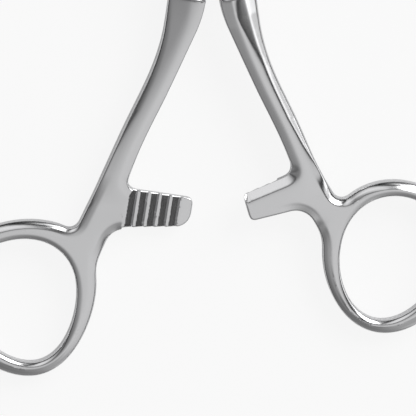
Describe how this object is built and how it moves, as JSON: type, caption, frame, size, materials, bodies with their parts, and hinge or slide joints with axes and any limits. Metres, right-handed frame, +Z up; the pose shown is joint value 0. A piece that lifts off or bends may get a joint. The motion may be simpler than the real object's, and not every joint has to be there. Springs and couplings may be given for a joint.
{
  "type": "tongue forceps",
  "caption": "Steel tongue forceps: two crossing halves on a slotted screw, oval finger rings, toothed ratchet arms and fenestrated serrated gripping loops.",
  "frame": {"origin": "centre of the bounding box's bottom face, on the table the forceps lie on", "axes": "+Z up from the table, +Y from the finger rings to the jaws, +X to the side of the nearer ring; the hinge's axis leans from +Z by the angle at which loops and rings rest together"},
  "size_m": [0.1114, 0.1684, 0.016],
  "materials": {
    "satin_steel": "satin faces with polished rounded edges",
    "polished_steel": "polished"
  },
  "bodies": {
    "left": {"left_half": "satin_steel", "joint_screw": "polished_steel"},
    "right": {"right_half": "satin_steel"}
  },
  "joints": [
    {"name": "handle_hinge", "type": "hinge", "parent": "left", "child": "right", "pos_m": [0.0023, 0.00438, 0.00545], "axis": [0, -0.0397, 0.9992], "range_deg": [-17.6, 42]}
  ]
}
